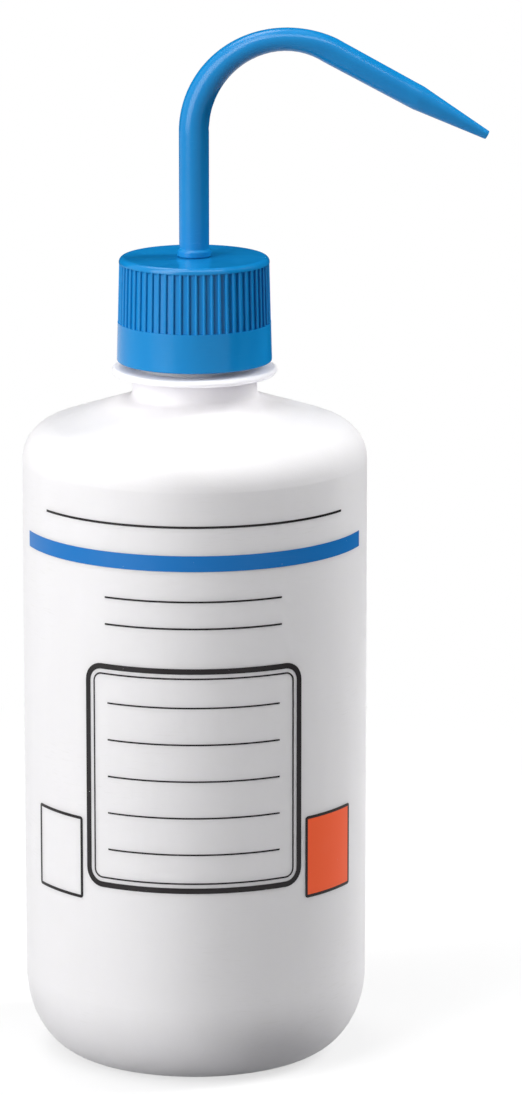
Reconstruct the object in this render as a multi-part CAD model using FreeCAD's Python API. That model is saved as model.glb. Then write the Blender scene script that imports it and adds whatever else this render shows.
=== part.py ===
"""A 500 mL squeeze wash bottle: blow-moulded bottle, screw cap, swivelling spout and draw tube.

Millimetres, +Z up. The origin is on the bottle's axis, in the plane that the bottle stands on.
The spout points along +X, and the printed front of the bottle faces -Y.
"""
import FreeCAD, Part

import math
import os

from FreeCAD import Vector

# Bottle: body, shoulder and base
body_radius = 37.0
body_wall = 1.3
shoulder_edge_height = 136.6
shoulder_angle = 18.2
shoulder_round = 8.2
base_corner_reach = 12.05
base_corner_height = 17.6
rest_ring_width = 4.4
push_up_height = 2.4
push_up_run = 4.0
push_up_round = 2.0
weld_end_gap = 3.5
weld_width = 0.9
weld_height = 0.5

# Bottle: neck, flange and finish
finish_radius = 12.5
finish_wall = 1.7
finish_height = 19.5
lip_round = 0.4
neck_step = 0.9
neck_length = 4.84
neck_foot_round = 1.3
flange_overhang = 1.08
flange_thickness = 1.4
flange_edge_round = 0.66

# Screw thread shared by the neck and the cap
thread_pitch = 4.233
thread_depth = 1.1
thread_root_width = 2.2
thread_crest_width = 1.0
thread_turns = 1.5
thread_below_lip = 3.2
thread_radial_clearance = 0.4
thread_flank_clearance = 0.35
thread_sink = 0.25

# Screw cap
cap_wall_at_bottom = 2.62
cap_wall_at_top = 2.05
cap_top_round = 1.1
cap_edge_round = 0.35
cap_panel = 1.8
cap_flange_gap = 1.4
skirt_height = 8.4
rib_count = 60
first_rib_angle = 2.2
rib_width = 0.66
rib_inset = 0.06
groove_depth = 0.56
groove_end_cove = 0.45
groove_top_land = 0.15
cap_thread_depth = 1.0
cap_thread_turns = 1.25

# Closure stack between the lip and the cap's panel
washer_thickness = 1.0
washer_edge_round = 0.25
washer_inset = 0.25
washer_clearance = 0.1
disc_thickness = 1.4
disc_edge_round = 0.35
disc_inset = 0.3
closure_play = 0.1

# Spout
stem_diameter = 6.4
stem_rise = 26.9
stem_hole_clearance = 0.08
collar_overhang = 0.45
collar_height = 1.25
collar_round = 0.3
bend_radius = 19.57
bend_angle = 118.5
bend_flattening = 1.0
bend_widening = 0.4
bend_stations = 13
run_length = 21.2
run_diameter = 5.4
tip_length = 16.7
tip_diameter = 1.9
tip_rim_round = 0.2
spout_bore = 3.0
tip_bore = 1.0
spigot_wall = 1.6
spigot_length = 11.0
spigot_round = 0.5
socket_roof = 1.4
socket_chamfer = 0.5

# Draw tube
tube_diameter = 6.0
tube_bore = 4.0
tube_push_clearance = 0.02
tube_floor_gap = 2.2
tube_cut_angle = 40.0

# Radii that follow from the fits
neck_radius = finish_radius + neck_step
neck_bore_radius = finish_radius - finish_wall
thread_crest_radius = finish_radius + thread_depth
cap_bore_radius = thread_crest_radius + thread_radial_clearance
cap_thread_crest_radius = cap_bore_radius - cap_thread_depth
cap_bottom_radius = cap_bore_radius + cap_wall_at_bottom
cap_top_radius = cap_bore_radius + cap_wall_at_top
flange_radius = cap_bottom_radius + flange_overhang
stem_radius = stem_diameter / 2
stem_hole_radius = stem_radius + stem_hole_clearance
collar_radius = stem_radius + collar_overhang
tube_radius = tube_diameter / 2
socket_radius = tube_radius + tube_push_clearance
spigot_radius = socket_radius + spigot_wall
disc_radius = finish_radius - disc_inset
washer_radius = finish_radius - washer_inset
washer_hole_radius = spigot_radius + washer_clearance

# Heights, from the base upwards
floor_z = push_up_height + body_wall
shoulder_slope = math.tan(math.radians(shoulder_angle))
neck_foot_z = shoulder_edge_height + (body_radius - neck_radius) * shoulder_slope
flange_bottom_z = neck_foot_z + neck_length
flange_top_z = flange_bottom_z + flange_thickness
lip_z = flange_top_z + finish_height
thread_start_z = lip_z - thread_below_lip - thread_pitch * thread_turns
washer_top_z = lip_z + washer_thickness
disc_top_z = washer_top_z + disc_thickness
panel_bottom_z = disc_top_z + closure_play
cap_bottom_z = flange_top_z + cap_flange_gap
cap_top_z = panel_bottom_z + cap_panel
ledge_z = cap_bottom_z + skirt_height
groove_top_z = cap_top_z - cap_top_round - groove_top_land
collar_z = cap_top_z + closure_play
collar_top_z = collar_z + collar_height
bend_start_z = cap_top_z + stem_rise
spigot_bottom_z = washer_top_z - spigot_length
socket_top_z = disc_top_z - socket_roof
tube_end_z = floor_z + tube_floor_gap

UP = Vector(0, 0, 1)
ACROSS = Vector(0, 1, 0)
ORIGIN = Vector(0, 0, 0)
SAME_POINT = 1e-6


def at(radius, height):
    """A point of a turned profile, in the XZ plane."""
    return Vector(radius, 0, height)


def rounded_edges(corners, closed=False):
    """Edges along (point, rounding) corners, with an arc wherever the rounding isn't zero."""
    bends = []
    for index, (corner, rounding) in enumerate(corners):
        if rounding == 0:
            bends.append((corner, None, corner))
            continue
        back = (corners[index - 1][0] - corner).normalize()
        onward = (corners[(index + 1) % len(corners)][0] - corner).normalize()
        half = back.getAngle(onward) / 2
        setback = rounding / math.tan(half)
        depth = rounding / math.sin(half) - rounding
        middle = corner + (back + onward).normalize() * depth
        bends.append((corner + back * setback, middle, corner + onward * setback))
    edges = [Part.Arc(*bend).toShape() for bend in bends if bend[1] is not None]
    following = bends[1:] + bends[:1] if closed else bends[1:]
    for bend, next_bend in zip(bends, following):
        if (next_bend[0] - bend[2]).Length > SAME_POINT:
            edges.append(Part.LineSegment(bend[2], next_bend[0]).toShape())
    return edges


def turned(edges, start=ORIGIN, axis=UP):
    """The solid made by turning a closed profile once round an axis."""
    face = Part.Face(Part.Wire(Part.__sortEdges__(edges)))
    return face.revolve(start, axis, 360)


def turned_corners(corners):
    """The solid turned round the Z axis from a closed run of (radius, height, rounding) corners."""
    points = [(at(radius, height), rounding) for radius, height, rounding in corners]
    return turned(rounded_edges(points, closed=True))


def thread_ridge(wall_radius, crest_radius, root_width, start_z, turns):
    """A right-hand screw ridge on a wall, with its root sunk a little into that wall."""
    height = abs(crest_radius - wall_radius)
    outwards = (crest_radius - wall_radius) / height
    sunk_radius = wall_radius - outwards * thread_sink
    sunk_half = root_width / 2 + (root_width - thread_crest_width) / 2 * thread_sink / height
    crest_half = thread_crest_width / 2
    corners = [
        at(sunk_radius, start_z - sunk_half),
        at(crest_radius, start_z - crest_half),
        at(crest_radius, start_z + crest_half),
        at(sunk_radius, start_z + sunk_half),
    ]
    section = Part.makePolygon(corners + corners[:1])
    helix = Part.makeHelix(thread_pitch, thread_pitch * turns, wall_radius)
    helix.translate(Vector(0, 0, start_z))
    return Part.Wire(helix).makePipeShell([section], True, True)


def base_corner(radius, reach, bottom, height):
    """The quarter ellipse that joins the standing ring to the body wall."""
    centre = at(radius - reach, bottom + height)
    oval = Part.Ellipse(at(centre.x, bottom), at(radius, centre.z), centre)
    return Part.ArcOfEllipse(oval, 0, math.pi / 2).toShape()


def make_bottle():
    """Hollow body with its shoulder, neck, flange and threaded finish in one moulding."""
    ring_outer = body_radius - base_corner_reach
    ring_inner = ring_outer - rest_ring_width
    push_up_radius = ring_inner - push_up_run
    inner_radius = body_radius - body_wall
    wall_drop = body_wall / math.cos(math.radians(shoulder_angle)) - body_wall * shoulder_slope
    inner_edge_z = shoulder_edge_height - wall_drop
    inner_neck_z = inner_edge_z + (inner_radius - neck_bore_radius) * shoulder_slope
    walls = rounded_edges([
        (at(body_radius, base_corner_height), 0),
        (at(body_radius, shoulder_edge_height), shoulder_round),
        (at(neck_radius, neck_foot_z), neck_foot_round),
        (at(neck_radius, flange_bottom_z), 0),
        (at(flange_radius, flange_bottom_z), flange_edge_round),
        (at(flange_radius, flange_top_z), flange_edge_round),
        (at(finish_radius, flange_top_z), 0),
        (at(finish_radius, lip_z), lip_round),
        (at(neck_bore_radius, lip_z), lip_round),
        (at(neck_bore_radius, inner_neck_z), neck_foot_round + body_wall),
        (at(inner_radius, inner_edge_z), shoulder_round - body_wall),
        (at(inner_radius, base_corner_height), 0),
    ])
    outer_corner = base_corner(body_radius, base_corner_reach, 0, base_corner_height)
    underside = rounded_edges([
        (at(ring_outer, 0), 0),
        (at(ring_inner, 0), 0),
        (at(push_up_radius, push_up_height), push_up_round),
        (at(0, push_up_height), 0),
        (at(0, floor_z), 0),
        (at(push_up_radius, floor_z), push_up_round),
        (at(ring_inner, body_wall), body_wall),
        (at(ring_outer, body_wall), 0),
    ])
    inner_reach = base_corner_reach - body_wall
    inner_corner = base_corner(inner_radius, inner_reach, body_wall, base_corner_height - body_wall)
    body = turned(walls + [outer_corner] + underside + [inner_corner])
    ridge = thread_ridge(
        finish_radius, thread_crest_radius, thread_root_width, thread_start_z, thread_turns
    )
    weld_reach = push_up_radius - weld_end_gap
    weld_corner = Vector(-weld_reach, -weld_width / 2, push_up_height - weld_height)
    weld = Part.makeBox(2 * weld_reach, weld_width, weld_height + body_wall / 2, weld_corner)
    return body.fuse([ridge, weld])


def make_sealing_washer():
    """Flat soft ring between the bottle's lip and the spout's disc."""
    return turned_corners([
        (washer_hole_radius, lip_z, washer_edge_round),
        (washer_radius, lip_z, washer_edge_round),
        (washer_radius, washer_top_z, washer_edge_round),
        (washer_hole_radius, washer_top_z, washer_edge_round),
    ])


def cap_radius_at(height):
    """Radius of the cap's drafted outside at a height."""
    share = (height - cap_bottom_z) / (cap_top_z - cap_bottom_z)
    return cap_bottom_radius + (cap_top_radius - cap_bottom_radius) * share


def make_cap_rib():
    """One upright half-round rib of the grip, which leans in with the cap's draft."""
    top_z = groove_top_z + groove_top_land / 2
    half = rib_width / 2
    crest = cap_radius_at(ledge_z) - rib_inset
    shoulder = crest - half
    root = crest - 2 * groove_depth
    outline = Part.Wire([
        Part.LineSegment(Vector(root, -half, ledge_z), Vector(shoulder, -half, ledge_z)).toShape(),
        Part.Arc(
            Vector(shoulder, -half, ledge_z),
            Vector(crest, 0, ledge_z),
            Vector(shoulder, half, ledge_z),
        ).toShape(),
        Part.LineSegment(Vector(shoulder, half, ledge_z), Vector(root, half, ledge_z)).toShape(),
        Part.LineSegment(Vector(root, half, ledge_z), Vector(root, -half, ledge_z)).toShape(),
    ])
    lean = cap_radius_at(top_z) - cap_radius_at(ledge_z)
    return Part.Face(outline).extrude(Vector(lean, 0, top_z - ledge_z))


def make_screw_cap():
    """Ribbed cap with a plain skirt, an inner thread and the stem's hole in its panel."""
    ledge_radius = cap_radius_at(ledge_z)
    groove_top_radius = cap_radius_at(groove_top_z)
    shell = turned_corners([
        (cap_bore_radius, cap_bottom_z, cap_edge_round),
        (cap_bottom_radius, cap_bottom_z, cap_edge_round),
        (ledge_radius, ledge_z, 0),
        (ledge_radius - groove_depth, ledge_z, 0),
        (groove_top_radius - groove_depth, groove_top_z, groove_end_cove),
        (groove_top_radius, groove_top_z, 0),
        (cap_top_radius, cap_top_z, cap_top_round),
        (stem_hole_radius, cap_top_z, 0),
        (stem_hole_radius, panel_bottom_z, 0),
        (cap_bore_radius, panel_bottom_z, cap_edge_round),
    ])
    flank_slope = (thread_root_width - thread_crest_width) / 2 / thread_depth
    engagement = thread_crest_radius - cap_thread_crest_radius
    neck_thread_half = thread_crest_width / 2 + flank_slope * engagement
    drop = neck_thread_half + thread_crest_width / 2 + thread_flank_clearance
    cap_root_width = thread_crest_width + 2 * flank_slope * cap_thread_depth
    ridge = thread_ridge(
        cap_bore_radius, cap_thread_crest_radius, cap_root_width, thread_start_z - drop, cap_thread_turns
    )
    rib = make_cap_rib()
    ribs = []
    for index in range(rib_count):
        copy = rib.copy()
        copy.rotate(ORIGIN, UP, first_rib_angle + 360 * index / rib_count)
        ribs.append(copy)
    return shell.fuse(ridge).fuse(ribs)


def bend_frame(share):
    """Centre of the bent stretch, the way it runs and its outward normal, at a share of the turn."""
    turn = math.radians(bend_angle) * share
    outward = Vector(-math.cos(turn), 0, math.sin(turn))
    along = Vector(math.sin(turn), 0, math.cos(turn))
    centre = at(bend_radius, bend_start_z) + outward * bend_radius
    return centre, along, outward


def bend_radii(share):
    """Half the bent stretch's size in its plane and across it: it tapers, and the bend flattens it."""
    bend_length = math.radians(bend_angle) * bend_radius
    tapered = (stem_diameter - run_diameter) * share * bend_length / (bend_length + run_length)
    bent = math.sin(math.pi * share ** 2)
    in_plane = (stem_diameter - tapered - bend_flattening * bent) / 2
    across = (stem_diameter - tapered + bend_widening * bent) / 2
    return in_plane, across


def bend_section(share):
    """The bent stretch's outline at a share of the turn."""
    centre, along, outward = bend_frame(share)
    in_plane, across = bend_radii(share)
    oval = Part.Ellipse(centre + ACROSS * across, centre + outward * in_plane, centre)
    return Part.Wire(oval.toShape())


def make_spout():
    """Stem with its collar, disc and socket, the flattened bend, the straight run and the tip."""
    foot = turned_corners([
        (0, spigot_bottom_z, 0),
        (spigot_radius, spigot_bottom_z, spigot_round),
        (spigot_radius, washer_top_z, 0),
        (disc_radius, washer_top_z, disc_edge_round),
        (disc_radius, disc_top_z, disc_edge_round),
        (stem_radius, disc_top_z, 0),
        (stem_radius, collar_z, 0),
        (collar_radius, collar_z, collar_round),
        (collar_radius, collar_top_z, collar_round),
        (stem_radius, collar_top_z + collar_overhang, 0),
        (stem_radius, bend_start_z, 0),
        (0, bend_start_z, 0),
    ])
    shares = [index / (bend_stations - 1) for index in range(bend_stations)]
    bend = Part.makeLoft([bend_section(share) for share in shares], True, False)
    run_start, run_way, run_out = bend_frame(1)
    tip_start = run_start + run_way * run_length
    tip_end = tip_start + run_way * tip_length
    run = Part.makeCone(bend_radii(1)[0], run_diameter / 2, run_length, run_start, run_way)
    tip_corners = [
        (tip_start, 0),
        (tip_start + run_out * (run_diameter / 2), 0),
        (tip_end + run_out * (tip_diameter / 2), tip_rim_round),
        (tip_end, 0),
    ]
    tip = turned(rounded_edges(tip_corners, closed=True), tip_start, run_way)
    bore_radius = spout_bore / 2
    bend_start = at(0, bend_start_z)
    stem_bore = Part.makeCylinder(bore_radius, bend_start_z - spigot_bottom_z, at(0, spigot_bottom_z))
    bend_line = Part.Wire(Part.Arc(bend_start, bend_frame(0.5)[0], run_start).toShape())
    bend_bore = bend_line.makePipe(Part.Face(Part.Wire(Part.makeCircle(bore_radius, bend_start, UP))))
    run_bore = Part.makeCylinder(bore_radius, run_length, run_start, run_way)
    outlet = Part.makeCone(bore_radius, tip_bore / 2, tip_length, tip_start, run_way)
    socket = turned_corners([
        (0, spigot_bottom_z, 0),
        (socket_radius + socket_chamfer, spigot_bottom_z, 0),
        (socket_radius, spigot_bottom_z + socket_chamfer, 0),
        (socket_radius, socket_top_z, 0),
        (0, socket_top_z, 0),
    ])
    outside = foot.fuse([bend, run, tip])
    return outside.cut([stem_bore, bend_bore, run_bore, outlet, socket]).removeSplitter()


def make_draw_tube():
    """Straight tube from the spout's socket to just above the floor, with a slanted lower end."""
    length = socket_top_z - tube_end_z
    tube = Part.makeCylinder(tube_radius, length, at(0, tube_end_z))
    bore = Part.makeCylinder(tube_bore / 2, length, at(0, tube_end_z))
    rise = tube_diameter * math.tan(math.radians(tube_cut_angle))
    slant = [
        Vector(-tube_radius, -tube_radius, tube_end_z),
        Vector(tube_radius, -tube_radius, tube_end_z),
        Vector(tube_radius, -tube_radius, tube_end_z + rise),
    ]
    wedge = Part.Face(Part.makePolygon(slant + slant[:1])).extrude(ACROSS * tube_diameter)
    return tube.cut([bore, wedge])


pieces = {
    "bottle": make_bottle(),
    "sealing_washer": make_sealing_washer(),
    "screw_cap": make_screw_cap(),
    "spout": make_spout(),
    "draw_tube": make_draw_tube(),
}
os.makedirs("parts", exist_ok=True)
for name, shape in pieces.items():
    print(name, "solids:", len(shape.Solids), "valid:", shape.isValid(), "volume:", round(shape.Volume, 1))
    shape.exportStep("parts/" + name + ".step")
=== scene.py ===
import math

import bmesh
import bpy
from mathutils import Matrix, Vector


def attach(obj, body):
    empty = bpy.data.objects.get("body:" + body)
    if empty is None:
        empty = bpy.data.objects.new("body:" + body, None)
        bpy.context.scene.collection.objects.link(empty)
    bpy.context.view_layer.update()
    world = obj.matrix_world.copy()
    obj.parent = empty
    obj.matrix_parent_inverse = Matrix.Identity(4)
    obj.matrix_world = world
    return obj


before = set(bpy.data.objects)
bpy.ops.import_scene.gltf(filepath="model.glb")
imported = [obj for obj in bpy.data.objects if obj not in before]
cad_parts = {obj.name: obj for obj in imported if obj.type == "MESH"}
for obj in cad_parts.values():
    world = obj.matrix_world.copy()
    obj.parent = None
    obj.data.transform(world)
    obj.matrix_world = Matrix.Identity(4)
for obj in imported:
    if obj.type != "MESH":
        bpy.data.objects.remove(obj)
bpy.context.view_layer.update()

# The bottle: one blow-moulded shell of white polyethylene with body, shoulder, neck, flange and
# thread in one piece. The wall is satin, with slow upright ripples from the stretched parison
# and a faint parting line down each side where the two halves of the mould met.
MM = 0.001
BOTTLE_WHITE = (0.87, 0.853, 0.885, 1.0)
BOTTLE_HANDLED = (0.81, 0.793, 0.81, 1.0)
RIPPLE_DEPTH = 0.12 * MM
PARTING_HALF_WIDTH, PARTING_RISE = 0.22 * MM, 0.08 * MM
HAIR_TILT, HAIR_STRETCH = 0.25, 14.0


def add_node(tree, kind, inputs=None, **settings):
    """Adds a node; each named input is set to a value, or linked if it is given a socket."""
    node = tree.nodes.new(kind)
    for name, value in settings.items():
        setattr(node, name, value)
    for name, value in (inputs or {}).items():
        if isinstance(value, bpy.types.NodeSocket):
            tree.links.new(value, node.inputs[name])
        else:
            node.inputs[name].default_value = value
    return node


def maths(tree, operation, *values):
    """The output of one Math node."""
    inputs = dict(enumerate(values))
    return add_node(tree, "ShaderNodeMath", inputs, operation=operation).outputs[0]


def grown(tree, share, base, gain):
    """The base value, with the share times the gain added to it."""
    return maths(tree, "MULTIPLY_ADD", share, gain, base)


def spread(tree, value, low, high, to_low=0.0, to_high=1.0):
    """The value, spread smoothly from one range to another and held at its ends."""
    limits = {"Value": value, "From Min": low, "From Max": high,
              "To Min": to_low, "To Max": to_high}
    return add_node(tree, "ShaderNodeMapRange", limits,
                    interpolation_type="SMOOTHSTEP").outputs[0]


def mixed_colour(tree, share, first, second):
    """A colour between two others, by the Mix node's factor and its two colour sockets."""
    sockets = {0: share, 6: first, 7: second}
    return add_node(tree, "ShaderNodeMix", sockets, data_type="RGBA").outputs[2]


def noise(tree, place, scale, detail):
    """A soft noise of about that many waves to the metre."""
    inputs = {"Vector": place, "Scale": scale, "Detail": detail}
    return add_node(tree, "ShaderNodeTexNoise", inputs).outputs[0]


def start_effect(name, inputs, outputs):
    """A shader node group with those named inputs and outputs."""
    effect = bpy.data.node_groups.new(name, "ShaderNodeTree")
    for label, value in inputs.items():
        kind = "NodeSocketFloat" if isinstance(value, float) else "NodeSocketVector"
        socket = effect.interface.new_socket(label, in_out="INPUT", socket_type=kind)
        socket.default_value = value
    for label in outputs:
        effect.interface.new_socket(label, in_out="OUTPUT", socket_type="NodeSocketFloat")
    return effect, effect.nodes.new("NodeGroupInput").outputs


def moulded_skin():
    """Fine mould grain over slow flow ripples, and a cloudy mottle as wide as the ripples."""
    sizes = {"Place": (0.0, 0.0, 0.0), "Grain per Metre": 2500.0, "Flow per Metre": 90.0,
             "Stretch": 6.0}
    effect, given = start_effect("moulded_skin", sizes, ("Height", "Mottle"))
    squeeze = add_node(effect, "ShaderNodeCombineXYZ", {
        "X": 1.0, "Y": 1.0, "Z": maths(effect, "DIVIDE", 1.0, given["Stretch"])}).outputs[0]
    drawn_out = add_node(effect, "ShaderNodeVectorMath", {0: given["Place"], 1: squeeze},
                         operation="MULTIPLY").outputs[0]
    grain = noise(effect, given["Place"], given["Grain per Metre"], detail=2.0)
    flow = noise(effect, drawn_out, given["Flow per Metre"], detail=1.5)
    cloud = noise(effect, drawn_out, given["Flow per Metre"], detail=4.0)
    add_node(effect, "NodeGroupOutput", {
        "Height": grown(effect, grain, base=flow, gain=0.12),
        "Mottle": spread(effect, cloud, low=0.32, high=0.68)})
    return effect


def handling_rub():
    """Hair-fine rubs in loose patches, as a rack and hands leave on a soft plastic."""
    sizes = {"Place": (0.0, 0.0, 0.0), "Hairs per Metre": 260.0, "Patches per Metre": 28.0,
             "Cover": 0.5}
    effect, given = start_effect("handling_rub", sizes, ("Rub",))
    lying = add_node(effect, "ShaderNodeMapping", {
        "Vector": given["Place"], "Rotation": (0.0, HAIR_TILT, 0.0),
        "Scale": (1.0, 1.0, HAIR_STRETCH)}).outputs[0]
    hairs = noise(effect, lying, given["Hairs per Metre"], detail=3.0)
    patches = noise(effect, given["Place"], given["Patches per Metre"], detail=2.0)
    rub = maths(effect, "MULTIPLY", spread(effect, hairs, low=0.56, high=0.70),
                spread(effect, patches, low=0.50, high=0.66))
    add_node(effect, "NodeGroupOutput", {"Rub": maths(effect, "MULTIPLY", rub, given["Cover"])})
    return effect


def using(tree, effect, inputs):
    """The outputs of a shared effect."""
    return add_node(tree, "ShaderNodeGroup", inputs, node_tree=effect).outputs


def start_material(name):
    """An empty node material, and the place on the piece that its patterns read."""
    material = bpy.data.materials.new(name)
    material.use_nodes = True
    material.node_tree.nodes.clear()
    place = add_node(material.node_tree, "ShaderNodeTexCoord").outputs["Object"]
    return material, material.node_tree, place


def finish_material(tree, inputs):
    """Ends a material in one Principled shader."""
    surface = add_node(tree, "ShaderNodeBsdfPrincipled", inputs)
    add_node(tree, "ShaderNodeOutputMaterial", {"Surface": surface.outputs[0]})


def bump(tree, height, depth, under=None):
    """A normal from a height, that many metres deep, over another normal."""
    inputs = {"Height": height, "Distance": depth, "Strength": 1.0}
    if under is not None:
        inputs["Normal"] = under
    return add_node(tree, "ShaderNodeBump", inputs).outputs[0]


def dress(node, material):
    """Gives a CAD piece its material."""
    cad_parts[node].material_slots[0].material = material


MOULDED_SKIN = moulded_skin()
HANDLING_RUB = handling_rub()


def blown_polyethylene():
    """The bottle's satin white, a little greyer where the wall is rubbed."""
    material, tree, place = start_material("white_blown_polyethylene")
    skin = using(tree, MOULDED_SKIN, {"Place": place})
    rubbed = using(tree, HANDLING_RUB, {"Place": place})["Rub"]
    aged = grown(tree, skin["Mottle"], base=rubbed, gain=0.25)
    across = add_node(tree, "ShaderNodeSeparateXYZ", {"Vector": place}).outputs["Y"]
    parting = spread(tree, maths(tree, "ABSOLUTE", across), low=0.0, high=PARTING_HALF_WIDTH,
                     to_low=1.0, to_high=0.0)
    rippled = bump(tree, skin["Height"], RIPPLE_DEPTH)
    finish_material(tree, {
        "Base Color": mixed_colour(tree, aged, BOTTLE_WHITE, BOTTLE_HANDLED),
        "Roughness": grown(tree, aged, base=0.38, gain=0.16),
        "Normal": bump(tree, parting, PARTING_RISE, rippled),
        "Specular IOR Level": 0.22,
        "Subsurface Weight": 0.7,
        "Subsurface Radius": (1.0, 1.0, 1.06),
        "Subsurface Scale": 4.0 * MM,
    })
    return material


dress("bottle", blown_polyethylene())

# The print on the bottle's front: opaque screen ink in one film a few hundredths of a millimetre
# thick, with a blue band, black rules and frames and one orange field. Every field is blank,
# to be written on or left plain.
BODY_RADIUS = max(point.co.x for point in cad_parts["bottle"].data.vertices)
INK_FOOT, INK_FILM = -0.02 * MM, 0.05 * MM
INK_STRIP = 1.0 * MM
INK_WELD = 0.001 * MM
INK_EDGE_ANGLE = math.radians(40.0)
INK_THIN, INK_RUB, INK_HOLE_DEPTH = 0.995, 0.008, 0.01 * MM
CORNER_STEPS, LEAST_CORNER = 8, 0.05 * MM
BLUE_INK = (0.005, 0.150, 0.455, 1.0)
BLACK_INK = (0.006, 0.004, 0.005, 1.0)
ORANGE_INK = (0.90, 0.112, 0.030, 1.0)
BAND_REACH = math.radians(71.5) * BODY_RADIUS
BAND_FOOT, BAND_TOP, BAND_CORNER = 113.9 * MM, 117.3 * MM, 0.15 * MM
TOP_RULE_RISE, TOP_RULE_LENGTH, TOP_RULE_LINE = 123.4 * MM, 74.0 * MM, 0.5 * MM
LOW_RULE_RISE, LOW_RULE_LENGTH, LOW_RULE_LINE = 101.6 * MM, 39.0 * MM, 0.4 * MM
LOW_RULE_COUNT, LOW_RULE_SPACING = 2, 5.8 * MM
PANEL_MIDDLE, PANEL_SIDE = (0.0, 68.5 * MM), 49.0 * MM
PANEL_CORNER, PANEL_LINE = 4.0 * MM, 1.2 * MM
PANEL_INSET, PANEL_FINE_LINE = 2.0 * MM, 0.35 * MM
PANEL_RULE_RISE, PANEL_RULE_LENGTH = 52.5 * MM, 38.0 * MM
PANEL_RULE_COUNT, PANEL_RULE_SPACING = 5, 8.0 * MM
SIDE_FIELD_OUT, SIDE_FIELD_RISE = 33.3 * MM, 49.6 * MM
SIDE_FIELD_WIDTH, SIDE_FIELD_HEIGHT = 15.2 * MM, 18.0 * MM
SIDE_FIELD_CORNER, SIDE_FIELD_LINE = 0.7 * MM, 0.65 * MM


def rounded_box(centre, width, height, corner):
    """The outline of a box with round corners, turning left, as (round the body, up the body)."""
    outline = []
    for quarter, (side, end) in enumerate(((1, 1), (-1, 1), (-1, -1), (1, -1))):
        for step in range(CORNER_STEPS + 1):
            turn = math.pi / 2 * (quarter + step / CORNER_STEPS)
            outline.append((centre[0] + side * (width / 2 - corner) + corner * math.cos(turn),
                            centre[1] + end * (height / 2 - corner) + corner * math.sin(turn)))
    return outline


def field(centre, width, height, corner):
    """A box filled with ink."""
    outline = rounded_box(centre, width, height, corner)
    flat = bpy.data.meshes.new("field")
    flat.from_pydata([(x, y, 0.0) for x, y in outline], [], [range(len(outline))])
    return flat


def line_round(centre, width, height, corner, line):
    """A line of even width just inside a box's outline."""
    outer = rounded_box(centre, width, height, corner)
    inner = rounded_box(centre, width - 2 * line, height - 2 * line,
                        max(corner - line, LEAST_CORNER))
    count = len(outer)
    sides = [(i, (i + 1) % count, count + (i + 1) % count, count + i) for i in range(count)]
    flat = bpy.data.meshes.new("line_round")
    flat.from_pydata([(x, y, 0.0) for x, y in outer + inner], [], sides)
    return flat


def start_tree(name, inputs):
    """A geometry node tree with those named inputs and one geometry out."""
    tree = bpy.data.node_groups.new(name, "GeometryNodeTree")
    tree.interface.new_socket("Geometry", in_out="OUTPUT", socket_type="NodeSocketGeometry")
    for label, kind in inputs.items():
        tree.interface.new_socket(label, in_out="INPUT", socket_type="NodeSocket" + kind)
    return tree, tree.nodes.new("NodeGroupInput").outputs


def finish_tree(tree, geometry, ink):
    """Ends a tree in real faces of one ink."""
    real = add_node(tree, "GeometryNodeRealizeInstances", {"Geometry": geometry}).outputs[0]
    inked = add_node(tree, "GeometryNodeSetMaterial", {"Geometry": real, "Material": ink})
    add_node(tree, "NodeGroupOutput", {"Geometry": inked.outputs[0]})
    return tree


def rule_ladder():
    """Level rules one above the other, all of one length."""
    tree, given = start_tree("rule_ladder", {"Count": "Int", "Spacing": "Float",
                                             "Length": "Float", "Thickness": "Float",
                                             "Ink": "Material"})
    step = add_node(tree, "ShaderNodeCombineXYZ", {"Y": given["Spacing"]}).outputs[0]
    places = add_node(tree, "GeometryNodeMeshLine", {"Count": given["Count"], "Offset": step})
    rule = add_node(tree, "GeometryNodeMeshGrid", {
        "Size X": given["Length"], "Size Y": given["Thickness"],
        "Vertices X": 2, "Vertices Y": 2})
    ladder = add_node(tree, "GeometryNodeInstanceOnPoints", {
        "Points": places.outputs[0], "Instance": rule.outputs["Mesh"]})
    return finish_tree(tree, ladder.outputs[0], given["Ink"])


def ink_on_wall():
    """Bends flat art round the wall and raises it to a closed film."""
    tree, given = start_tree("ink_on_wall", {"Art": "Geometry", "Body Radius": "Float",
                                             "Foot": "Float", "Film": "Float",
                                             "Ink": "Material"})
    place = add_node(tree, "GeometryNodeInputPosition").outputs[0]
    flat = add_node(tree, "ShaderNodeSeparateXYZ", {"Vector": place}).outputs
    turn = maths(tree, "DIVIDE", flat["X"], given["Body Radius"])
    radius = maths(tree, "ADD", given["Body Radius"], given["Foot"])
    forward = maths(tree, "MULTIPLY", radius, maths(tree, "COSINE", turn))
    round_wall = add_node(tree, "ShaderNodeCombineXYZ", {
        "X": maths(tree, "MULTIPLY", radius, maths(tree, "SINE", turn)),
        "Y": maths(tree, "MULTIPLY", forward, -1.0),
        "Z": flat["Y"]}).outputs[0]
    bent = add_node(tree, "GeometryNodeSetPosition", {
        "Geometry": given["Art"], "Position": round_wall}).outputs[0]
    raised = add_node(tree, "GeometryNodeExtrudeMesh", {
        "Mesh": bent, "Offset Scale": given["Film"], "Individual": False}).outputs[0]
    foot = add_node(tree, "GeometryNodeFlipFaces", {"Mesh": bent}).outputs[0]
    joined = add_node(tree, "GeometryNodeJoinGeometry", {"Geometry": raised})
    tree.links.new(foot, joined.inputs["Geometry"])
    shut = add_node(tree, "GeometryNodeMergeByDistance", {
        "Geometry": joined.outputs[0], "Distance": INK_WELD}).outputs[0]
    return finish_tree(tree, shut, given["Ink"])


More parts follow.
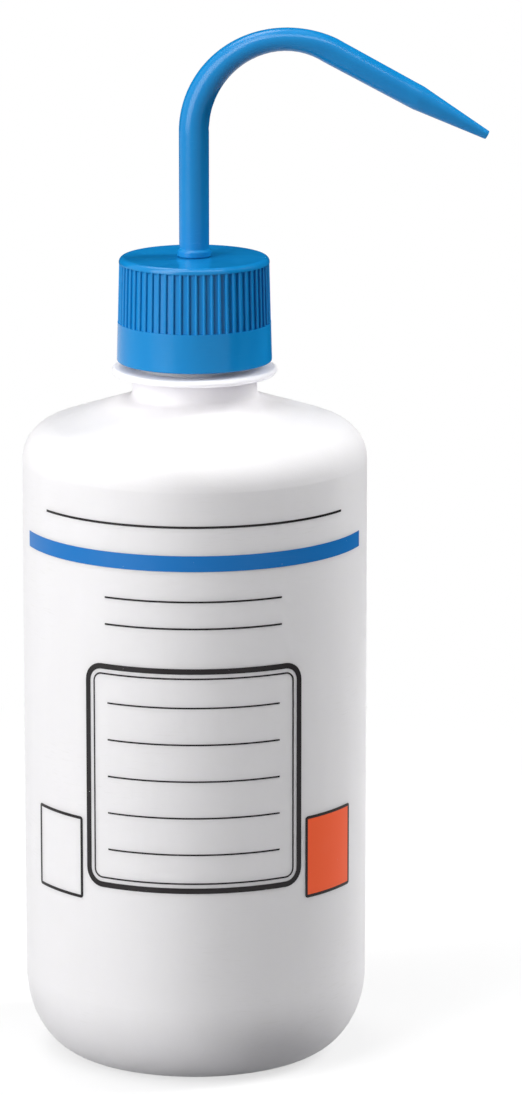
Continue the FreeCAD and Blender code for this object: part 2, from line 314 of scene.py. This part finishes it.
def shaped(flat, tree, **sizes):
    """The plain mesh that a tree makes of a flat one, with the tree's inputs set by name."""
    holder = bpy.data.objects.new("holder", flat)
    bpy.context.scene.collection.objects.link(holder)
    modifier = holder.modifiers.new(tree.name, "NODES")
    modifier.node_group = tree
    for socket in tree.interface.items_tree:
        if socket.in_out == "INPUT" and socket.socket_type != "NodeSocketGeometry":
            modifier[socket.identifier] = sizes[socket.name.lower().replace(" ", "_")]
    finished = holder.evaluated_get(bpy.context.evaluated_depsgraph_get())
    made = bpy.data.meshes.new_from_object(finished)
    bpy.data.objects.remove(holder)
    bpy.data.meshes.remove(flat)
    return made


def rules(rise, length, line, count=1, spacing=0.0):
    """Rules on the middle of the front, the lowest at that height."""
    flat = shaped(bpy.data.meshes.new("rules"), RULE_LADDER, count=count, spacing=spacing,
                  length=length, thickness=line, ink=black_ink)
    for point in flat.vertices:
        point.co.y += rise
    return flat


def ink_cover():
    """How fully a screen ink covers: nearly all, with pinholes and thinner patches."""
    sizes = {"Place": (0.0, 0.0, 0.0), "Pinholes per Metre": 2600.0, "Patches per Metre": 160.0}
    effect, given = start_effect("ink_cover", sizes, ("Cover",))
    pinholes = noise(effect, given["Place"], given["Pinholes per Metre"], detail=1.0)
    patches = noise(effect, given["Place"], given["Patches per Metre"], detail=3.0)
    cover = maths(effect, "MULTIPLY", spread(effect, pinholes, low=0.14, high=0.20),
                  spread(effect, patches, low=0.25, high=0.55, to_low=INK_THIN))
    add_node(effect, "NodeGroupOutput", {"Cover": cover})
    return effect


def screen_ink(name, colour):
    """An opaque ink that the white shows through at its pinholes."""
    material, tree, place = start_material(name)
    cover = using(tree, INK_COVER, {"Place": place})["Cover"]
    rub = using(tree, HANDLING_RUB, {"Place": place, "Cover": INK_RUB})["Rub"]
    kept = maths(tree, "SUBTRACT", cover, rub)
    finish_material(tree, {
        "Base Color": mixed_colour(tree, kept, BOTTLE_WHITE, colour),
        "Roughness": grown(tree, kept, base=0.44, gain=-0.06),
        "Normal": bump(tree, kept, INK_HOLE_DEPTH),
        "Specular IOR Level": 0.28,
    })
    return material


def printed(name, ink, art):
    """Joins flat art, cuts it in narrow strips so that it can bend, and puts it on the wall."""
    joined = bmesh.new()
    for flat in art:
        joined.from_mesh(flat)
        bpy.data.meshes.remove(flat)
    reach = int(max(abs(point.co.x) for point in joined.verts) / INK_STRIP)
    for strip in range(-reach, reach + 1):
        bmesh.ops.bisect_plane(joined, geom=joined.verts[:] + joined.edges[:] + joined.faces[:],
                               plane_co=(strip * INK_STRIP, 0, 0), plane_no=(1, 0, 0))
    flat = bpy.data.meshes.new(name)
    joined.to_mesh(flat)
    joined.free()
    film = shaped(flat, INK_ON_WALL, body_radius=BODY_RADIUS, foot=INK_FOOT, film=INK_FILM,
                  ink=ink)
    film.shade_smooth()
    film.set_sharp_from_angle(angle=INK_EDGE_ANGLE)
    piece = bpy.data.objects.new(name, film)
    bpy.context.scene.collection.objects.link(piece)
    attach(piece, "bottle_body")


RULE_LADDER = rule_ladder()
INK_ON_WALL = ink_on_wall()
INK_COVER = ink_cover()
blue_ink = screen_ink("blue_screen_ink", BLUE_INK)
black_ink = screen_ink("black_screen_ink", BLACK_INK)
orange_ink = screen_ink("orange_screen_ink", ORANGE_INK)

printed("print_band", blue_ink, [
    field((0.0, (BAND_FOOT + BAND_TOP) / 2), 2 * BAND_REACH, BAND_TOP - BAND_FOOT, BAND_CORNER)])
printed("print_rules", black_ink, [
    rules(TOP_RULE_RISE, TOP_RULE_LENGTH, TOP_RULE_LINE),
    rules(LOW_RULE_RISE, LOW_RULE_LENGTH, LOW_RULE_LINE, LOW_RULE_COUNT, LOW_RULE_SPACING)])
printed("print_panel", black_ink, [
    rules(PANEL_RULE_RISE, PANEL_RULE_LENGTH, PANEL_FINE_LINE,
          PANEL_RULE_COUNT, PANEL_RULE_SPACING),
    line_round(PANEL_MIDDLE, PANEL_SIDE, PANEL_SIDE, PANEL_CORNER, PANEL_LINE),
    line_round(PANEL_MIDDLE, PANEL_SIDE - 2 * PANEL_INSET, PANEL_SIDE - 2 * PANEL_INSET,
               PANEL_CORNER - PANEL_INSET, PANEL_FINE_LINE)])
printed("print_side_frames", black_ink, [
    line_round((side * SIDE_FIELD_OUT, SIDE_FIELD_RISE), SIDE_FIELD_WIDTH, SIDE_FIELD_HEIGHT,
               SIDE_FIELD_CORNER, SIDE_FIELD_LINE) for side in (-1, 1)])
printed("print_orange_field", orange_ink, [
    field((SIDE_FIELD_OUT, SIDE_FIELD_RISE), SIDE_FIELD_WIDTH - 2 * SIDE_FIELD_LINE,
          SIDE_FIELD_HEIGHT - 2 * SIDE_FIELD_LINE, LEAST_CORNER)])

# The sealing washer: a flat ring punched from white closed-cell polyethylene foam, slipped on
# the spout's spigot and squeezed between the bottle's lip and the spout's disc.
FOAM_WHITE = (0.80, 0.80, 0.77, 1.0)
# A darker white painted into the cells' hollows as shade.
FOAM_CELL_SHADE = (0.62, 0.62, 0.60, 1.0)
CELLS_PER_METRE, CELL_DEPTH = 3200.0, 0.08 * MM


def cell_foam():
    """Small closed cells, with their hollows darkened by painted shade."""
    material, tree, place = start_material("white_cell_foam")
    cells = add_node(tree, "ShaderNodeTexVoronoi", {
        "Vector": place, "Scale": CELLS_PER_METRE}).outputs["Distance"]
    hollow_shade = spread(tree, cells, low=0.15, high=0.6, to_low=1.0, to_high=0.0)
    finish_material(tree, {
        "Base Color": mixed_colour(tree, hollow_shade, FOAM_WHITE, FOAM_CELL_SHADE),
        "Roughness": grown(tree, hollow_shade, base=0.8, gain=0.1),
        "Normal": bump(tree, cells, CELL_DEPTH),
    })
    return material


dress("sealing_washer", cell_foam())

# The screw cap: one injection moulding of blue polypropylene, satin gloss, with sixty upright
# ribs over a plain skirt. Hands have rubbed it in patches, and the grooves hold painted shade.
POLYPROPYLENE_BLUE = (0.005, 0.208, 0.515, 1.0)
POLYPROPYLENE_RUBBED = (0.014, 0.255, 0.57, 1.0)
# A darker blue painted into the ribs' grooves as shade.
POLYPROPYLENE_GROOVE_SHADE = (0.003, 0.120, 0.36, 1.0)
FLOW_MARK_DEPTH = 0.012 * MM
cap_heights = [point.co.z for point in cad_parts["screw_cap"].data.vertices]
CAP_FOOT, CAP_TOP = min(cap_heights), max(cap_heights)
CAP_FOOT_RADIUS, CAP_TOP_RADIUS = 16.62 * MM, 16.05 * MM
GROOVE_DEPTH = 0.56 * MM
# The painted groove shade starts at the first depth, is cut off beyond the second, and reaches at
# most that share.
GROOVE_SHADE_START, GROOVE_SHADE_END = 0.25 * GROOVE_DEPTH, 1.6 * GROOVE_DEPTH
GROOVE_SHADE_SHARE = 0.08


def moulded_polypropylene(name, shade_of=None):
    """Blue polypropylene with flow marks and rubs; the optional function gives a share of painted
    shade by place.
    """
    material, tree, place = start_material(name)
    skin = using(tree, MOULDED_SKIN, {
        "Place": place, "Grain per Metre": 5200.0, "Flow per Metre": 260.0, "Stretch": 3.0})
    rub = using(tree, HANDLING_RUB, {
        "Place": place, "Hairs per Metre": 420.0, "Patches per Metre": 90.0})["Rub"]
    rubbed = grown(tree, skin["Mottle"], base=rub, gain=0.18)
    colour = mixed_colour(tree, rubbed, POLYPROPYLENE_BLUE, POLYPROPYLENE_RUBBED)
    roughness = grown(tree, rubbed, base=0.19, gain=0.14)
    # Painted shade in the grooves: the colour darkens by the share, and the surface grows rougher
    # there.
    if shade_of:
        groove_shade = shade_of(tree, place)
        colour = mixed_colour(tree, groove_shade, colour, POLYPROPYLENE_GROOVE_SHADE)
        roughness = grown(tree, groove_shade, base=roughness, gain=0.2)
    finish_material(tree, {
        "Base Color": colour,
        "Roughness": roughness,
        "Normal": bump(tree, skin["Height"], FLOW_MARK_DEPTH),
        "Specular IOR Level": 0.22,
        "Subsurface Weight": 0.05,
        "Subsurface Radius": (0.2, 0.6, 1.0),
        "Subsurface Scale": 0.8 * MM,
    })
    return material


def painted_groove_shade(tree, place):
    """A share of painted shade that grows with the depth of a place under the cap's outer cone.
    """
    parts = add_node(tree, "ShaderNodeSeparateXYZ", {"Vector": place}).outputs
    out = maths(tree, "SQRT", maths(tree, "ADD", maths(tree, "MULTIPLY", parts["X"], parts["X"]),
                                    maths(tree, "MULTIPLY", parts["Y"], parts["Y"])))
    cone = add_node(tree, "ShaderNodeMapRange", {
        "Value": parts["Z"], "From Min": CAP_FOOT, "From Max": CAP_TOP,
        "To Min": CAP_FOOT_RADIUS, "To Max": CAP_TOP_RADIUS}).outputs[0]
    deep = maths(tree, "SUBTRACT", cone, out)
    groove = spread(tree, deep, low=GROOVE_SHADE_START, high=GROOVE_DEPTH, to_high=GROOVE_SHADE_SHARE)
    return maths(tree, "MULTIPLY", groove, maths(tree, "LESS_THAN", deep, GROOVE_SHADE_END))


dress("screw_cap", moulded_polypropylene("blue_cap_polypropylene", painted_groove_shade))

# The spout: one tapered blue polypropylene tube, bent over while warm, so the bend is a little
# flat. Its collar and disc hold it in the cap's hole, where it swivels.
dress("spout", moulded_polypropylene("blue_spout_polypropylene"))

# The draw tube: extruded natural polyethylene, milky and faintly lined along its length, cut
# slantwise at the foot and pushed into the spout's socket.
TUBE_MILK = (0.80, 0.81, 0.79, 1.0)
TUBE_LINE = (0.70, 0.71, 0.68, 1.0)
TUBE_LINE_DEPTH = 0.03 * MM


def extruded_polyethylene():
    """Milky plastic with the fine lines that the die leaves."""
    material, tree, place = start_material("natural_extruded_polyethylene")
    skin = using(tree, MOULDED_SKIN, {
        "Place": place, "Flow per Metre": 900.0, "Stretch": 200.0})
    finish_material(tree, {
        "Base Color": mixed_colour(tree, skin["Mottle"], TUBE_MILK, TUBE_LINE),
        "Roughness": grown(tree, skin["Mottle"], base=0.34, gain=0.12),
        "Normal": bump(tree, skin["Height"], TUBE_LINE_DEPTH),
        "Subsurface Weight": 0.4,
        "Subsurface Radius": (1.0, 1.0, 0.9),
        "Subsurface Scale": 1.5 * MM,
    })
    return material


dress("draw_tube", extruded_polyethylene())

# The floor: a pale seamless sheet. It is white to the camera and keeps the bottle's soft shadow,
# and it throws little light back up, as the sheet in the photograph does.
FLOOR_HALF = 6.0
FLOOR_BOUNCE = (0.22, 0.22, 0.23, 1.0)
FLOOR_WHITE = (0.92, 0.92, 0.92, 1.0)
PURE_WHITE = (1.0, 1.0, 1.0, 1.0)
SHADOW_NEAR, SHADOW_FAR, SHADOW_SHARE = 0.08, 0.30, 0.35


def shows_white(tree):
    """1 for what is seen, straight, mirrored or through a piece, and 0 for light on a piece."""
    path = add_node(tree, "ShaderNodeLightPath").outputs
    mirrored = maths(tree, "MAXIMUM", path["Is Camera Ray"], path["Is Glossy Ray"])
    return maths(tree, "MAXIMUM", mirrored, path["Is Transmission Ray"])


def seamless_sheet():
    """Plain white that takes a shadow near the object only."""
    material, tree, place = start_material("seamless_white_sheet")
    away = add_node(tree, "ShaderNodeVectorMath", {0: place}, operation="LENGTH")
    shaded = spread(tree, away.outputs["Value"], low=SHADOW_NEAR, high=SHADOW_FAR,
                    to_low=SHADOW_SHARE, to_high=0.0)
    white = add_node(tree, "ShaderNodeEmission", {"Color": PURE_WHITE, "Strength": 1.0})
    takes_shadow = add_node(tree, "ShaderNodeBsdfDiffuse", {"Color": FLOOR_WHITE})
    bounce = add_node(tree, "ShaderNodeBsdfDiffuse", {"Color": FLOOR_BOUNCE})
    shown = add_node(tree, "ShaderNodeMixShader", {
        0: shaded, 1: white.outputs[0], 2: takes_shadow.outputs[0]})
    sheet = add_node(tree, "ShaderNodeMixShader", {
        0: shows_white(tree), 1: bounce.outputs[0], 2: shown.outputs[0]})
    add_node(tree, "ShaderNodeOutputMaterial", {"Surface": sheet.outputs[0]})
    return material


floor_corners = [(x * FLOOR_HALF, y * FLOOR_HALF, 0.0)
                 for x, y in ((-1, -1), (1, -1), (1, 1), (-1, 1))]
floor_mesh = bpy.data.meshes.new("floor")
floor_mesh.from_pydata(floor_corners, [], [range(4)])
floor_mesh.materials.append(seamless_sheet())
floor = bpy.data.objects.new("floor", floor_mesh)
bpy.context.scene.collection.objects.link(floor)

# The studio light: a large soft box on the left, a narrow one on the right for the light edge,
# one overhead, one behind for the cap's top, a strip that only the gloss shows, and a low even
# fill. Two black cards, behind and on the right, keep what mirrors them dark.
LIGHT_AIM = Vector((0.0, 0.0, 0.11))
LIGHT_DISTANCE = 1.2
ROOM_FILL = 0.06
FLAG_FOOT = 1.0 * MM


def soft_box(name, azimuth, elevation, width, height, power, mirrored=True, lights=True):
    """An area lamp aimed at the object; azimuth turns from the camera towards the spout's side.

    Sizes are in metres, power in watts. A lamp that isn't mirrored leaves no highlight, and
    one that doesn't light leaves only that.
    """
    lamp = bpy.data.lights.new(name, "AREA")
    lamp.shape = "RECTANGLE"
    lamp.size, lamp.size_y, lamp.energy = width, height, power
    box = bpy.data.objects.new(name, lamp)
    turn, rise = math.radians(azimuth), math.radians(elevation)
    away = Vector((math.sin(turn) * math.cos(rise), -math.cos(turn) * math.cos(rise),
                   math.sin(rise)))
    box.location = LIGHT_AIM + LIGHT_DISTANCE * away
    box.rotation_euler = (-away).to_track_quat("-Z", "Y").to_euler()
    box.visible_camera = False
    box.visible_glossy = mirrored
    box.visible_diffuse = lights
    bpy.context.scene.collection.objects.link(box)


def flag_cloth():
    """Black cloth without any sheen."""
    material, tree, _ = start_material("black_flag_cloth")
    finish_material(tree, {
        "Base Color": (0.0, 0.0, 0.0, 1.0),
        "Roughness": 1.0,
        "Specular IOR Level": 0.0,
    })
    return material


def dark_flag(name, azimuth, distance, width, height):
    """An upright black card, so that what mirrors it stays dark; it takes no other light away."""
    turn = math.radians(azimuth)
    across = Vector((math.cos(turn), math.sin(turn), 0.0)) * width / 2
    middle = Vector((math.sin(turn), -math.cos(turn), 0.0)) * distance
    corners = [middle + side * across + Vector((0.0, 0.0, rise))
               for side, rise in ((-1, FLAG_FOOT), (1, FLAG_FOOT), (1, height), (-1, height))]
    card = bpy.data.meshes.new(name)
    card.from_pydata(corners, [], [range(4)])
    card.materials.append(black_cloth)
    flag = bpy.data.objects.new(name, card)
    flag.visible_camera = flag.visible_diffuse = flag.visible_shadow = False
    bpy.context.scene.collection.objects.link(flag)


soft_box("key_left", azimuth=-48.0, elevation=22.0, width=0.8, height=1.1, power=17.1)
soft_box("edge_right", azimuth=98.0, elevation=33.0, width=0.4, height=0.9, power=15.6,
         mirrored=False)
soft_box("overhead", azimuth=-55.0, elevation=68.0, width=0.6, height=0.6, power=4.8)
soft_box("overhead_back", azimuth=212.0, elevation=60.0, width=0.6, height=0.4, power=3.5)
soft_box("rim_strip", azimuth=12.0, elevation=64.0, width=1.9, height=0.35, power=13.0,
         lights=False)
black_cloth = flag_cloth()
dark_flag("flag_back", azimuth=180.0, distance=0.9, width=3.0, height=1.2)
dark_flag("flag_right", azimuth=110.0, distance=0.3, width=0.9, height=0.8)

room = bpy.data.worlds.new("room")
room.use_nodes = True
room.node_tree.nodes.clear()
glow = add_node(room.node_tree, "ShaderNodeBackground", {
    "Color": PURE_WHITE,
    "Strength": maths(room.node_tree, "MAXIMUM", shows_white(room.node_tree), ROOM_FILL)})
add_node(room.node_tree, "ShaderNodeOutputWorld", {"Surface": glow.outputs[0]})
bpy.context.scene.world = room
bpy.context.scene.view_settings.view_transform = "Standard"

# The camera: in front of the bottle and a little above it, looking down on it through a long
# lens, as in the photograph.
PHOTO_HEIGHT = 1095
FOCAL_PIXELS = 5778.56
SENSOR_SIZE = 36.0
CAMERA_PLACE = (0.01422, -1.21377, 0.38507)
CAMERA_TILT = math.radians(77.269)
lens = bpy.data.cameras.new("camera")
lens.sensor_width = SENSOR_SIZE
lens.lens = FOCAL_PIXELS * SENSOR_SIZE / PHOTO_HEIGHT
camera = bpy.data.objects.new("camera", lens)
camera.location = CAMERA_PLACE
camera.rotation_euler = (CAMERA_TILT, 0.0, 0.0)
bpy.context.scene.collection.objects.link(camera)
bpy.context.scene.camera = camera
